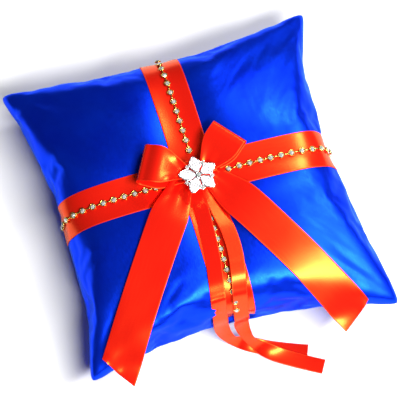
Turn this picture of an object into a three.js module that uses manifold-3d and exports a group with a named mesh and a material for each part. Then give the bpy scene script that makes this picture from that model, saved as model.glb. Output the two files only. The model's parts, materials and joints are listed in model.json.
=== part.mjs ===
// Ring bearer pillow: an eared satin cushion, crossed by two ribbons with chains of set stones,
// with a bow, a flower brooch and a long narrow ribbon that ties the rings on.
// Millimetres, +Z up. The origin is the middle of the flat underside. +X runs to the right-hand
// side, +Y to the top edge and -Y to the front edge, over which the ribbon ends fall.
import * as THREE from 'three';
import { mergeVertices } from 'three/addons/utils/BufferGeometryUtils.js';
import Module from 'manifold-3d';

const wasm = await Module();
wasm.setup();

// ---- Driving dimensions ----
const CLEARANCE = 0.3;        // gap between pieces that touch

const SIDE = 204;             // from one ear tip to the next
const SEAM_HEIGHT = 27;       // edge seam above the floor
const FRONT_RISE = 30;        // crown above the seam
const BACK_DROP = 31;         // how far the back would bulge below the seam if nothing flattened it
const SIDE_PULL = 16.5;       // how far the middle of each side is drawn in
const FULLNESS = 0.42;        // power of the crown: smaller is fuller near the seam
const COVER_WALL = 0.8;

const RIBBON_WIDTH = 25;      // both bands and the bow
const RIBBON_WALL = 0.5;
const CROSS_BAND_SHIFT = 4.5;   // the crosswise band lies this far above the middle
const BAND_STEP = 4;          // the crosswise band climbs over the other one in this distance

const CUP_RADIUS = 2;
const CUP_HEIGHT = 1.6;
const CHAIN_PITCH = 7;
const LINK_WIDTH = 0.9;
const LINK_HEIGHT = 0.6;
const CHAIN_START = 22;       // each run starts this far from the middle, under the bow
const CHAIN_END = 3;          // and ends this far before the seam

const TIE_WIDTH = 10;         // narrow ribbon that holds the rings
const TIE_WALL = 0.4;
const TIE_SPREAD = 8;         // each strand's centre line beside the chain
const TIE_HINGE = 31;         // the strands lift from this far in front of the middle

const TAIL_LEFT_X = -13;      // where each tail's centre line crosses the knot's own line, y = 0
const TAIL_RIGHT_X = 10.7;
const TAIL_ROOT = -10;        // the tails begin this far behind that line, joined under the knot
const TAIL_HINGE = 31;        // and their loose stretches lift from this far before it
const TAIL_LEFT_ANGLE = 236.3;
const TAIL_RIGHT_ANGLE = -58.6;
const TAIL_LEFT_LENGTH = 125;
const TAIL_RIGHT_LENGTH = 125;
const TAIL_LIFT = 1.2;        // outer stretch above the cover
const TAIL_SLOPE = 0.85;      // steepest fall of a tail that leaves the cushion

const LOOP_LENGTH = 31;
const LOOP_HEIGHT = 8;
const LOOP_NECK = 2.6;        // its height at the knot
const LOOP_LEFT_ANGLE = 151;
const LOOP_RIGHT_ANGLE = 41;
const LOOP_PINCH = 13;        // width of the ribbon where it is gathered

const KNOT_HALF_LENGTH = 5.7;
const KNOT_HALF_WIDTH = 6.2;
const KNOT_HEIGHT = 3.2;
const THREAD_THICKNESS = 0.6;
const THREAD_WRAP = 1.6;      // width of the gathering thread's wraps
const TACK_RADIUS = 0.6;
const TACK_DEPTH = 36;        // how far the tacking thread goes into the filling

const BROOCH_TURN = 20;       // angle of the first petal
const PETAL_COUNT = 5;
const PETAL_INNER = 2.9;
const PETAL_OUTER = 13.3;
const PETAL_WIDTH = 6.2;
const PETAL_HEIGHT = 1.5;
const PLATE_RADIUS = 9.4;
const PLATE_SCALLOP = 1.6;
const PLATE_THICKNESS = 0.9;
const SHANK_RADIUS = 2;
const SHANK_HEIGHT = 1;
const STONE_RADIUS = 1.5;
const STONE_HEIGHT = 1.6;
const STONE_CIRCLE = 9;
const CENTRE_STONE_RADIUS = 2;

// ---- Worked-out sizes ----
const HALF = SIDE / 2;
const BAND_HALF = RIBBON_WIDTH / 2 / HALF;
const BAND_SHIFT = CROSS_BAND_SHIFT / HALF;
const CROWN = SEAM_HEIGHT + CLEARANCE / 2 + FRONT_RISE;

// Heights of the layers above the cover, each one clearance above the last.
const BAND_LIFT = CLEARANCE;
const BAND_TOP = BAND_LIFT + RIBBON_WALL;
const CROSSING_LIFT = BAND_TOP + CLEARANCE;
const CROSSING_TOP = CROSSING_LIFT + RIBBON_WALL;
const CHAIN_LIFT = BAND_TOP + CLEARANCE;
const TIE_LIFT = BAND_TOP + CLEARANCE;
const TIE_CENTRE_LIFT = CROSSING_TOP + CLEARANCE;
const TAIL_CENTRE_LIFT = TIE_CENTRE_LIFT + TIE_WALL + CLEARANCE;
const LOOP_LIFT = TAIL_CENTRE_LIFT + RIBBON_WALL + CLEARANCE;
const KNOT_LIFT = LOOP_LIFT + THREAD_THICKNESS + CLEARANCE;
const SHANK_LIFT = KNOT_LIFT + KNOT_HEIGHT + THREAD_THICKNESS + 2 * CLEARANCE;
const PLATE_LIFT = SHANK_LIFT + SHANK_HEIGHT + CLEARANCE;
const PETAL_LIFT = PLATE_LIFT + PLATE_THICKNESS + CLEARANCE;

// ---- Materials ----
function finish(color, roughness, metalness) {
  return new THREE.MeshStandardMaterial({ color, roughness, metalness });
}

const BLUE_SATIN = finish('#0a2ad0', 0.35, 0.0);
const FIBRE = finish('#f2f0ea', 0.95, 0.0);
const RED_SATIN = finish('#f2301a', 0.35, 0.0);
const THREAD = finish('#b81c10', 0.7, 0.0);
const GOLD = finish('#cdb46a', 0.3, 1.0);
const SILVER = finish('#dcdcde', 0.2, 1.0);
const CRYSTAL = finish('#e9eef2', 0.05, 0.0);

const pillow = new THREE.Group();
pillow.name = 'ring_bearer_pillow';

function addPiece(name, geometry, material) {
  const mesh = new THREE.Mesh(geometry, material);
  mesh.name = name;
  pillow.add(mesh);
  return mesh;
}

// ---- Solids ----
function toSolid(geometry) {
  const bare = geometry.clone();
  bare.deleteAttribute('normal');
  bare.deleteAttribute('uv');
  const merged = mergeVertices(bare, 1e-4);
  const vertProperties = new Float32Array(merged.attributes.position.array);
  const triVerts = new Uint32Array(merged.index.array);
  return new wasm.Manifold(new wasm.Mesh({ numProp: 3, vertProperties, triVerts }));
}

function toGeometry(solid) {
  const mesh = solid.getMesh();
  const geometry = new THREE.BufferGeometry();
  geometry.setAttribute('position', new THREE.BufferAttribute(mesh.vertProperties, 3));
  geometry.setIndex(new THREE.BufferAttribute(mesh.triVerts, 1));
  return geometry;
}

function joined(geometries) {
  return toGeometry(geometries.map(toSolid).reduce((sum, solid) => sum.add(solid)));
}

// A closed sheet between two grids of points with the same rows and columns. Columns run to the
// right and rows away, seen from the side of the upper grid.
function sheet(upper, lower) {
  const rows = upper.length;
  const columns = upper[0].length;
  const positions = [...upper.flat(), ...lower.flat()].flatMap((p) => [p.x, p.y, p.z]);
  const top = (row, column) => row * columns + column;
  const bottom = (row, column) => rows * columns + top(row, column);
  const index = [];
  const quad = (a, b, c, d) => index.push(a, b, c, a, c, d);
  for (let row = 0; row + 1 < rows; row += 1) {
    for (let column = 0; column + 1 < columns; column += 1) {
      quad(top(row, column), top(row, column + 1), top(row + 1, column + 1), top(row + 1, column));
      const [a, b] = [bottom(row, column), bottom(row, column + 1)];
      const [c, d] = [bottom(row + 1, column + 1), bottom(row + 1, column)];
      index.push(a, c, b, a, d, c);
    }
  }
  const rim = [];
  for (let column = 0; column < columns; column += 1) rim.push([0, column]);
  for (let row = 1; row < rows; row += 1) rim.push([row, columns - 1]);
  for (let column = columns - 2; column >= 0; column -= 1) rim.push([rows - 1, column]);
  for (let row = rows - 2; row > 0; row -= 1) rim.push([row, 0]);
  rim.forEach(([row, column], i) => {
    const [nextRow, nextColumn] = rim[(i + 1) % rim.length];
    quad(bottom(row, column), bottom(nextRow, nextColumn), top(nextRow, nextColumn), top(row, column));
  });
  const geometry = new THREE.BufferGeometry();
  geometry.setAttribute('position', new THREE.Float32BufferAttribute(positions, 3));
  geometry.setIndex(index);
  return geometry;
}

// ---- Cushion ----
// A point of the cushion's front (side 1) or back (side -1). u and v run from -1 to 1 between
// the sides. The point is pushed out by offset, the same way all over, so that pieces with
// different offsets nest inside each other.
function cushionPoint(u, v, side, offset) {
  const spread = (HALF + offset) / HALF;
  const depth = side > 0 ? FRONT_RISE : BACK_DROP;
  const dome = ((1 - u * u) * (1 - v * v)) ** FULLNESS;
  const bulge = Math.min(depth * dome, side > 0 ? depth : SEAM_HEIGHT - CLEARANCE / 2);
  const deepest = side > 0 ? depth : SEAM_HEIGHT - CLEARANCE / 2;
  const height = bulge * (deepest + offset) / deepest;
  return new THREE.Vector3(
    u * (HALF - SIDE_PULL * (1 - v * v) * u * u) * spread,
    v * (HALF - SIDE_PULL * (1 - u * u) * v * v) * spread,
    SEAM_HEIGHT + side * (CLEARANCE / 2 + height),
  );
}

// Grid lines from -1 to 1, closer together near the seams, with a line on each given stop.
function gridLines(stops) {
  const outerSteps = 8;
  const first = stops[0];
  const last = stops[stops.length - 1];
  const lines = [];
  for (let i = 0; i < outerSteps; i += 1) {
    lines.push(-1 + (1 + first) * (1 - Math.cos((Math.PI / 2) * (i / outerSteps))));
  }
  lines.push(...stops);
  for (let i = outerSteps - 1; i >= 0; i -= 1) {
    lines.push(1 - (1 - last) * (1 - Math.cos((Math.PI / 2) * (i / outerSteps))));
  }
  return lines;
}

const STEP_AT = BAND_HALF + BAND_STEP / HALF;
const U_LINES = gridLines([-STEP_AT, -BAND_HALF, BAND_HALF, STEP_AT]);
const V_LINES = gridLines([BAND_SHIFT - BAND_HALF, BAND_SHIFT + BAND_HALF]);

function cushionGrid(side, offset, uLines = U_LINES, vLines = V_LINES) {
  const offsetAt = typeof offset === 'function' ? offset : () => offset;
  return vLines.map((v) => uLines.map((u) => cushionPoint(u, v, side, offsetAt(u, v))));
}

const coverInside = -COVER_WALL;
const fillingOffset = -COVER_WALL - CLEARANCE;
let filling = sheet(cushionGrid(1, fillingOffset), cushionGrid(-1, fillingOffset));
let coverFront = sheet(cushionGrid(1, 0), cushionGrid(1, coverInside));
const coverBack = sheet(cushionGrid(-1, coverInside), cushionGrid(-1, 0));

// ---- Bands ----
const insideBand = (line, shift) => Math.abs(line - shift) < BAND_HALF + 1e-6;
const lengthLines = U_LINES.filter((u) => insideBand(u, 0));
const crossLines = V_LINES.filter((v) => insideBand(v, BAND_SHIFT));
let bandLengthwise = sheet(
  cushionGrid(1, BAND_TOP, lengthLines, V_LINES),
  cushionGrid(1, BAND_LIFT, lengthLines, V_LINES),
);

// The crosswise band lies on the cover and climbs over the lengthwise one where they cross.
function crossOffset(base) {
  return (u) => base + (insideBand(u, 0) ? CROSSING_LIFT - BAND_LIFT : 0);
}
let bandCrosswise = sheet(
  cushionGrid(1, crossOffset(BAND_TOP), U_LINES, crossLines),
  cushionGrid(1, crossOffset(BAND_LIFT), U_LINES, crossLines),
);

// ---- Chains of cups ----
// A run of cups and links along a route, which gives a point for each share from 0 to 1.
function chainRun(route) {
  const samples = 400;
  const points = Array.from({ length: samples + 1 }, (_, i) => route(i / samples));
  const seats = [points[0]];
  let walked = 0;
  for (let i = 1; i <= samples; i += 1) {
    walked += points[i].position.distanceTo(points[i - 1].position);
    if (walked >= CHAIN_PITCH) {
      seats.push(points[i]);
      walked = 0;
    }
  }
  const pieces = seats.map(({ position, normal }) => {
    const cup = new THREE.CylinderGeometry(CUP_RADIUS, CUP_RADIUS * 0.8, CUP_HEIGHT, 8);
    cup.translate(0, CUP_HEIGHT / 2, 0);
    cup.applyQuaternion(new THREE.Quaternion().setFromUnitVectors(new THREE.Vector3(0, 1, 0), normal));
    return cup.translate(position.x, position.y, position.z);
  });
  for (let i = 1; i < seats.length; i += 1) {
    const lift = LINK_HEIGHT / 2 + CUP_HEIGHT / 4;
    const from = seats[i - 1].position.clone().addScaledVector(seats[i - 1].normal, lift);
    const to = seats[i].position.clone().addScaledVector(seats[i].normal, lift);
    const link = new THREE.BoxGeometry(LINK_WIDTH, LINK_HEIGHT, from.distanceTo(to));
    const turn = new THREE.Matrix4();
    turn.lookAt(to, from, seats[i].normal);
    link.applyMatrix4(turn);
    const middle = from.lerp(to, 0.5);
    pieces.push(link.translate(middle.x, middle.y, middle.z));
  }
  return joined(pieces);
}

// A route over the front of the cushion between two places on the (u, v) grid.
function frontRoute(fromU, fromV, toU, toV) {
  const nudge = 1e-3;
  return (share) => {
    const u = fromU + (toU - fromU) * share;
    const v = fromV + (toV - fromV) * share;
    const alongU = cushionPoint(u + nudge, v, 1, 0).sub(cushionPoint(u - nudge, v, 1, 0));
    const alongV = cushionPoint(u, v + nudge, 1, 0).sub(cushionPoint(u, v - nudge, 1, 0));
    const normal = alongU.cross(alongV).normalize();
    const position = cushionPoint(u, v, 1, 0).addScaledVector(normal, CHAIN_LIFT);
    return { position, normal };
  };
}

const runStart = CHAIN_START / HALF;
const runEnd = 1 - CHAIN_END / HALF;
const chains = {
  chain_upper: frontRoute(0, runStart, 0, runEnd),
  chain_lower: frontRoute(0, -runStart, 0, -runEnd),
  chain_left: frontRoute(-runStart, BAND_SHIFT, -runEnd, BAND_SHIFT),
  chain_right: frontRoute(runStart, BAND_SHIFT, runEnd, BAND_SHIFT),
};

// ---- Where a place on the floor lies on the cushion's grid, and the front's height above it ----
function gridPlace(x, y) {
  let u = x / HALF;
  let v = y / HALF;
  for (let i = 0; i < 30; i += 1) {
    u = THREE.MathUtils.clamp(x / (HALF - SIDE_PULL * (1 - v * v) * u * u), -1, 1);
    v = THREE.MathUtils.clamp(y / (HALF - SIDE_PULL * (1 - u * u) * v * v), -1, 1);
  }
  return { u, v };
}

function frontHeight(x, y) {
  const { u, v } = gridPlace(x, y);
  return cushionPoint(u, v, 1, 0).z;
}

// A ribbon that lies along a straight line over the front, flat across its width. Its underside
// is lift(distance) above the highest point of the cover below it, and it leaves the cushion
// where that falls away faster than TAIL_SLOPE.
function ribbonHeights(place, width, lift, from, to) {
  const step = 4;
  const count = Math.ceil((to - from) / step);
  const heights = [];
  for (let i = 0; i <= count; i += 1) {
    const distance = from + ((to - from) * i) / count;
    const across = [-0.5, -0.25, 0, 0.25, 0.5].map((share) => {
      const spot = place(distance, share * width);
      return frontHeight(spot.x, spot.y);
    });
    const resting = Math.max(...across) + lift(distance);
    const last = heights[heights.length - 1];
    const falling = last ? last.z - TAIL_SLOPE * (distance - last.distance) : -Infinity;
    heights.push({ distance, z: Math.max(resting, falling) });
  }
  return heights;
}

function layRibbon(place, width, wall, heights) {
  const row = (extra) => ({ distance, z }) => [-0.5, 0, 0.5].map((share) => {
    const spot = place(distance, share * width);
    return new THREE.Vector3(spot.x, spot.y, z + extra);
  });
  return sheet(heights.map(row(wall)), heights.map(row(0)));
}

// A place at a distance along an angle from a point on the knot's line, and to one side of it.
function outward(startX, angle) {
  const turn = THREE.MathUtils.degToRad(angle);
  return (distance, aside) => ({
    x: startX + distance * Math.cos(turn) + aside * Math.sin(turn),
    y: distance * Math.sin(turn) - aside * Math.cos(turn),
  });
}

// ---- Bow tails ----
function tailLift(distance) {
  const settle = THREE.MathUtils.smoothstep(distance, TAIL_HINGE + 2, TAIL_HINGE + 30);
  return THREE.MathUtils.lerp(TAIL_CENTRE_LIFT, TAIL_LIFT, settle);
}

function tailParts(startX, angle, length) {
  const place = outward(startX, angle);
  const inner = ribbonHeights(place, RIBBON_WIDTH, tailLift, TAIL_ROOT, TAIL_HINGE);
  const outer = ribbonHeights(place, RIBBON_WIDTH, tailLift, TAIL_HINGE + CLEARANCE, length);
  return {
    fixed: layRibbon(place, RIBBON_WIDTH, RIBBON_WALL, inner),
    loose: layRibbon(place, RIBBON_WIDTH, RIBBON_WALL, outer),
  };
}

const tailLeft = tailParts(TAIL_LEFT_X, TAIL_LEFT_ANGLE, TAIL_LEFT_LENGTH);
const tailRight = tailParts(TAIL_RIGHT_X, TAIL_RIGHT_ANGLE, TAIL_RIGHT_LENGTH);
let tailsCentre = joined([tailLeft.fixed, tailRight.fixed]);

// ---- Ring ties ----
// Each strand lies on the lower band beside the chain as far as the hinge, and its loose part
// goes on to the seam, over the edge and along the floor.
const forward = (x) => (distance, aside) => ({ x: x - aside, y: -distance });
function tieLift(distance) {
  const crossingEdge = RIBBON_WIDTH / 2 - CROSS_BAND_SHIFT;
  const settle = THREE.MathUtils.smoothstep(distance, crossingEdge + 1, crossingEdge + 7);
  return THREE.MathUtils.lerp(TIE_CENTRE_LIFT, TIE_LIFT, settle);
}
const strandHeights = ribbonHeights(forward(0), TIE_WIDTH + 2 * TIE_SPREAD, tieLift, -4, TIE_HINGE);
const bridgeHeights = ribbonHeights(forward(0), TIE_WIDTH + 2 * TIE_SPREAD, tieLift, -4, 4);
let tieCentre = joined([
  layRibbon(forward(-TIE_SPREAD), TIE_WIDTH, TIE_WALL, strandHeights),
  layRibbon(forward(TIE_SPREAD), TIE_WIDTH, TIE_WALL, strandHeights),
  layRibbon(forward(0), TIE_WIDTH + 2 * TIE_SPREAD, TIE_WALL, bridgeHeights),
]);

// The free route of a strand past the cushion's edge: places on its centre line, measured from
// the strand's own line across, from the seam outward and from the floor, with the way that its
// width points there.
const EDGE = -(HALF - SIDE_PULL);
const STRAND_LEFT_ROUTE = [
  [0, -2.2, SEAM_HEIGHT - 3, 1, 0, 0],
  [3, -5.5, 11, 0.97, 0.15, 0.2],
  [9, -9.5, 4.6, 0.8, 0.5, 0.3],
  [21, -15, 1.4, 0.45, 0.88, 0.05],
  [37, -22, 0.8, 0.38, 0.92, 0],
  [51, -28, 0.8, 0.38, 0.92, 0],
];
const STRAND_RIGHT_ROUTE = [
  [0, -2.4, SEAM_HEIGHT - 2, 1, 0, 0],
  [0.5, -7, 15, 0.98, 0.1, 0.15],
  [3, -13, 8.5, 0.8, 0.55, 0.25],
  [11, -21, 4.4, 0.6, 0.8, 0.05],
  [25, -31, 2.4, 0.55, 0.83, 0],
  [41, -40.5, 2.0, 0.5, 0.86, 0],
];

function looseStrand(line, route) {
  const resting = [];
  const places = 8;
  const offset = TIE_LIFT + TIE_WALL / 2;
  const firstRest = gridPlace(0, ((TIE_HINGE + CLEARANCE) * HALF) / (HALF + offset)).v;
  const lastRest = 0.99;
  for (let i = 0; i < places; i += 1) {
    const v = firstRest + (lastRest - firstRest) * Math.sin((Math.PI / 2) * (i / (places - 1)));
    const at = cushionPoint(0, -v, 1, offset).setX(line);
    resting.push({ at, across: new THREE.Vector3(1, 0, 0) });
  }
  const free = route.map(([x, y, z, wx, wy, wz]) => ({
    at: new THREE.Vector3(line + x, EDGE + y, z),
    across: new THREE.Vector3(wx, wy, wz),
  }));
  const stations = [...resting, ...free];
  const centreLine = new THREE.CatmullRomCurve3(stations.map((s) => s.at), false, 'centripetal');
  const acrossLine = new THREE.CatmullRomCurve3(stations.map((s) => s.across), false, 'centripetal');
  const steps = 4 * (stations.length - 1);
  const upper = [];
  const lower = [];
  for (let i = 0; i <= steps; i += 1) {
    const station = i / steps;
    const at = centreLine.getPoint(station);
    const tangent = centreLine.getTangent(station);
    const across = acrossLine.getPoint(station);
    across.addScaledVector(tangent, -across.dot(tangent)).normalize();
    const normal = new THREE.Vector3().crossVectors(tangent, across).multiplyScalar(TIE_WALL / 2);
    const edges = [0.5, 0, -0.5].map((share) => at.clone().addScaledVector(across, share * TIE_WIDTH));
    upper.push(edges.map((p) => p.clone().sub(normal)));
    lower.push(edges.map((p) => p.clone().add(normal)));
  }
  return sheet(lower, upper);
}

// ---- Bow loops ----
// Side outline of a loop: low at the knot, full towards its end.
function loopOutline(length, height, inset) {
  const steps = 6;
  const fullAt = 0.6;
  const reach = length - 2 * inset;
  const tall = height - 2 * inset;
  const half = (share) => Math.sqrt(Math.max(0, 1 - ((share - fullAt) / (1 - fullAt)) ** 2)) / 2;
  const rising = (share) => (LOOP_NECK - 2 * inset
    + (height - LOOP_NECK) * Math.sin((Math.PI / 2) * (share / fullAt)) ** 2) / tall;
  const point = (share, level) => new THREE.Vector2(inset + share * reach, inset + tall * level);
  const points = [point(0, 0)];
  for (let i = 0; i <= steps; i += 1) {
    const share = fullAt + (1 - fullAt) * Math.sin((Math.PI / 2) * (i / steps));
    points.push(point(share, 0.5 - half(share)));
  }
  for (let i = steps - 1; i >= 0; i -= 1) {
    const share = fullAt + (1 - fullAt) * Math.sin((Math.PI / 2) * (i / steps));
    points.push(point(share, 0.5 + half(share)));
  }
  for (let i = steps - 1; i >= 0; i -= 1) {
    const share = fullAt * (i / steps);
    points.push(point(share, rising(share)));
  }
  return points;
}

function bowLoop(angle) {
  const outline = new THREE.Shape(loopOutline(LOOP_LENGTH, LOOP_HEIGHT, 0));
  outline.holes.push(new THREE.Path(loopOutline(LOOP_LENGTH, LOOP_HEIGHT, RIBBON_WALL)));
  const geometry = new THREE.ExtrudeGeometry(outline, { depth: RIBBON_WIDTH, bevelEnabled: false });
  geometry.translate(0, 0, -RIBBON_WIDTH / 2);
  geometry.rotateX(Math.PI / 2);
  const position = geometry.attributes.position;
  for (let i = 0; i < position.count; i += 1) {
    const share = THREE.MathUtils.smoothstep(position.getX(i), 0, LOOP_LENGTH * 0.7);
    const width = THREE.MathUtils.lerp(LOOP_PINCH, RIBBON_WIDTH, share);
    position.setY(i, (position.getY(i) * width) / RIBBON_WIDTH);
  }
  const start = Math.max(KNOT_HALF_LENGTH, KNOT_HALF_WIDTH) + CLEARANCE;
  geometry.translate(start, 0, CROWN + LOOP_LIFT);
  return geometry.rotateZ(THREE.MathUtils.degToRad(angle));
}

// ---- Knot and threads ----
const knotMiddle = CROWN + KNOT_LIFT + KNOT_HEIGHT / 2;
const knot = new THREE.SphereGeometry(1, 16, 10);
knot.scale(KNOT_HALF_LENGTH, KNOT_HALF_WIDTH, KNOT_HEIGHT / 2);
knot.translate(0, 0, knotMiddle);

function gatherThread() {
  const ellipse = (grow) => new THREE.EllipseCurve(
    0, 0, KNOT_HALF_WIDTH + grow, KNOT_HEIGHT / 2 + grow,
  ).getPoints(24);
  const outline = new THREE.Shape(ellipse(CLEARANCE + THREAD_THICKNESS));
  outline.holes.push(new THREE.Path(ellipse(CLEARANCE)));
  const geometry = new THREE.ExtrudeGeometry(outline, { depth: THREAD_WRAP, bevelEnabled: false });
  geometry.translate(0, 0, -THREAD_WRAP / 2);
  geometry.rotateX(Math.PI / 2);
  geometry.rotateZ(Math.PI / 2);
  return geometry.translate(0, 0, knotMiddle);
}

// The tacking thread goes down through the bow's tails, the tie, both bands and the cover into
// the filling, each of which has a stitch hole for it.
const tackTop = CROWN + TAIL_CENTRE_LIFT + RIBBON_WALL;
const tackBottom = CROWN - TACK_DEPTH;
function upright(radius, from, to) {
  const rod = new THREE.CylinderGeometry(radius, radius, to - from, 8);
  rod.rotateX(Math.PI / 2);
  return rod.translate(0, 0, (from + to) / 2);
}
const stitchHole = toSolid(upright(TACK_RADIUS + CLEARANCE, tackBottom - CLEARANCE, tackTop + 1));
function pierced(geometry) {
  return toGeometry(toSolid(geometry).subtract(stitchHole));
}
filling = pierced(filling);
coverFront = pierced(coverFront);
bandLengthwise = pierced(bandLengthwise);
bandCrosswise = pierced(bandCrosswise);
tieCentre = pierced(tieCentre);
tailsCentre = pierced(tailsCentre);

// ---- Brooch ----
function broochPlate() {
  const outline = new THREE.Shape();
  const steps = 40;
  for (let i = 0; i < steps; i += 1) {
    const turn = (2 * Math.PI * i) / steps;
    const radius = PLATE_RADIUS + PLATE_SCALLOP * Math.cos(PETAL_COUNT * turn);
    if (i === 0) outline.moveTo(radius, 0);
    else outline.lineTo(radius * Math.cos(turn), radius * Math.sin(turn));
  }
  const geometry = new THREE.ExtrudeGeometry(outline, { depth: PLATE_THICKNESS, bevelEnabled: false });
  geometry.rotateZ(THREE.MathUtils.degToRad(BROOCH_TURN));
  return geometry.translate(0, 0, CROWN + PLATE_LIFT);
}

function petal(angle) {
  const bevel = 0.5;
  const half = PETAL_WIDTH / 2 - bevel;
  const start = PETAL_INNER + bevel;
  const tip = PETAL_OUTER - bevel;
  const outline = new THREE.Shape();
  outline.moveTo(start, 0);
  outline.quadraticCurveTo((start + tip) / 2, -2 * half, tip, 0);
  outline.quadraticCurveTo((start + tip) / 2, 2 * half, start, 0);
  const geometry = new THREE.ExtrudeGeometry(outline, {
    depth: PETAL_HEIGHT - bevel,
    bevelThickness: bevel,
    bevelSize: bevel,
    bevelSegments: 1,
    curveSegments: 8,
  });
  geometry.rotateZ(THREE.MathUtils.degToRad(angle));
  return geometry.translate(0, 0, CROWN + PETAL_LIFT + bevel);
}

function cutStone(radius, x, y) {
  const profile = [[0, 0], [radius * 0.5, 0], [radius, STONE_HEIGHT * 0.6], [radius * 0.6, STONE_HEIGHT],
    [0, STONE_HEIGHT]].map(([r, z]) => new THREE.Vector2(r, z));
  const geometry = new THREE.LatheGeometry(profile, 10);
  geometry.rotateX(Math.PI / 2);
  return geometry.translate(x, y, CROWN + PETAL_LIFT);
}

// ---- Assembly ----
addPiece('filling', filling, FIBRE);
addPiece('cover_front', coverFront, BLUE_SATIN);
addPiece('cover_back', coverBack, BLUE_SATIN);
addPiece('band_lengthwise', bandLengthwise, RED_SATIN);
addPiece('band_crosswise', bandCrosswise, RED_SATIN);
for (const [name, route] of Object.entries(chains)) {
  addPiece(name, chainRun(route), GOLD);
}
addPiece('ring_tie_centre', tieCentre, RED_SATIN);
addPiece('ring_tie_left', looseStrand(-TIE_SPREAD, STRAND_LEFT_ROUTE), RED_SATIN);
addPiece('ring_tie_right', looseStrand(TIE_SPREAD, STRAND_RIGHT_ROUTE), RED_SATIN);
addPiece('bow_tails_centre', tailsCentre, RED_SATIN);
addPiece('bow_tail_left', tailLeft.loose, RED_SATIN);
addPiece('bow_tail_right', tailRight.loose, RED_SATIN);
addPiece('bow_loop_left', bowLoop(LOOP_LEFT_ANGLE), RED_SATIN);
addPiece('bow_loop_right', bowLoop(LOOP_RIGHT_ANGLE), RED_SATIN);
addPiece('bow_knot', knot, RED_SATIN);
addPiece('gather_thread', gatherThread(), THREAD);
addPiece('tack_thread', upright(TACK_RADIUS, tackBottom, tackTop), THREAD);
addPiece('brooch_shank', upright(SHANK_RADIUS, CROWN + SHANK_LIFT, CROWN + SHANK_LIFT + SHANK_HEIGHT), SILVER);
addPiece('brooch_plate', broochPlate(), SILVER);
addPiece('brooch_centre_stone', cutStone(CENTRE_STONE_RADIUS, 0, 0), CRYSTAL);
for (let i = 0; i < PETAL_COUNT; i += 1) {
  const angle = BROOCH_TURN + (360 / PETAL_COUNT) * i;
  const between = THREE.MathUtils.degToRad(angle + 180 / PETAL_COUNT);
  addPiece(`brooch_petal_${i + 1}`, petal(angle), SILVER);
  addPiece(
    `brooch_stone_${i + 1}`,
    cutStone(STONE_RADIUS, STONE_CIRCLE * Math.cos(between), STONE_CIRCLE * Math.sin(between)),
    CRYSTAL,
  );
}

export default pillow;
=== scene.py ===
"""Ring bearer pillow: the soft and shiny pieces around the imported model.

A satin cushion is inflated by cloth simulation, ribbons and chains are laid over it, and the bow,
the ring tie and the brooch are built on top. Sizes and colours are properties of the scene, and
each group of pieces is one operator.
"""

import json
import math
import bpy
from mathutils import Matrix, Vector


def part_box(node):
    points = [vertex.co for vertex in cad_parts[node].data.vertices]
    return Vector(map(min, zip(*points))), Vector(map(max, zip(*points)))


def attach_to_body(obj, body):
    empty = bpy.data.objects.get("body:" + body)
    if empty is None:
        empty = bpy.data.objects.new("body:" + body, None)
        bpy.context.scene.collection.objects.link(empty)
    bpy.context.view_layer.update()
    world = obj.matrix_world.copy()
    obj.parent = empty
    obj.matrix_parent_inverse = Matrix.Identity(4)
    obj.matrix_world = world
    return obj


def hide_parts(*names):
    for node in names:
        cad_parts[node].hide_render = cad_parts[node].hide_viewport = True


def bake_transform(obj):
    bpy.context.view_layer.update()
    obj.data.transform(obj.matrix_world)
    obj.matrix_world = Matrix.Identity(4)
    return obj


bl_info = {
    "name": "Ring Bearer Pillow",
    "version": (1, 0, 0),
    "blender": (4, 5, 0),
    "location": "View3D > Sidebar > Pillow",
    "description": "Builds a ring bearer pillow with ribbons, chains, bow and brooch",
    "category": "Object",
}

import bpy
import numpy as np
from bpy.props import FloatProperty, FloatVectorProperty, PointerProperty
from mathutils import Matrix, Vector
from mathutils.bvhtree import BVHTree

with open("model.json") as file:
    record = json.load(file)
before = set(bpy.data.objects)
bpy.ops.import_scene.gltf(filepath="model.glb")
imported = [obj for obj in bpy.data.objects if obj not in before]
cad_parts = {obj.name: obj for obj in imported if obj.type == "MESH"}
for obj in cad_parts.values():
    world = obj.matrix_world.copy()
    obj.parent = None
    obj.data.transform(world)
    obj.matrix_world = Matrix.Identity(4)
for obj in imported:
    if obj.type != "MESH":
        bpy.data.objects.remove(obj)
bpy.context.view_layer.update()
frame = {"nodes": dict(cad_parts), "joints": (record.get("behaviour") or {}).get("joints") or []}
MM = 0.001


def box_of(node):
    low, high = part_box(node)
    return np.array(low), np.array(high)


FRONT_LOW, FRONT_HIGH = box_of("cover_front")
BACK_HIGH = box_of("cover_back")[1]
SEAM = float(FRONT_LOW[2] + BACK_HIGH[2]) / 2
CROWN = float(FRONT_HIGH[2])
HALF = float(FRONT_HIGH[0])
KNOT_LOW, KNOT_HIGH = box_of("bow_knot")
PLATE_LOW, PLATE_HIGH = box_of("brooch_plate")
HINGES = {joint["name"]: joint for joint in frame["joints"]}


# ---------------------------------------------------------------- sizes and colours

def length(name, description, default):
    return FloatProperty(name=name, description=description, default=default, min=0.0, unit="LENGTH")


def hex_colour(text):
    """An sRGB hex value as linear RGBA."""
    parts = [int(text[i:i + 2], 16) / 255 for i in (1, 3, 5)]
    return tuple(p / 12.92 if p <= 0.04045 else ((p + 0.055) / 1.055) ** 2.4 for p in parts) + (1.0,)


def colour(name, description, default):
    return FloatVectorProperty(
        name=name, description=description, default=hex_colour(default), size=4, min=0, max=1, subtype="COLOR")


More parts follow.
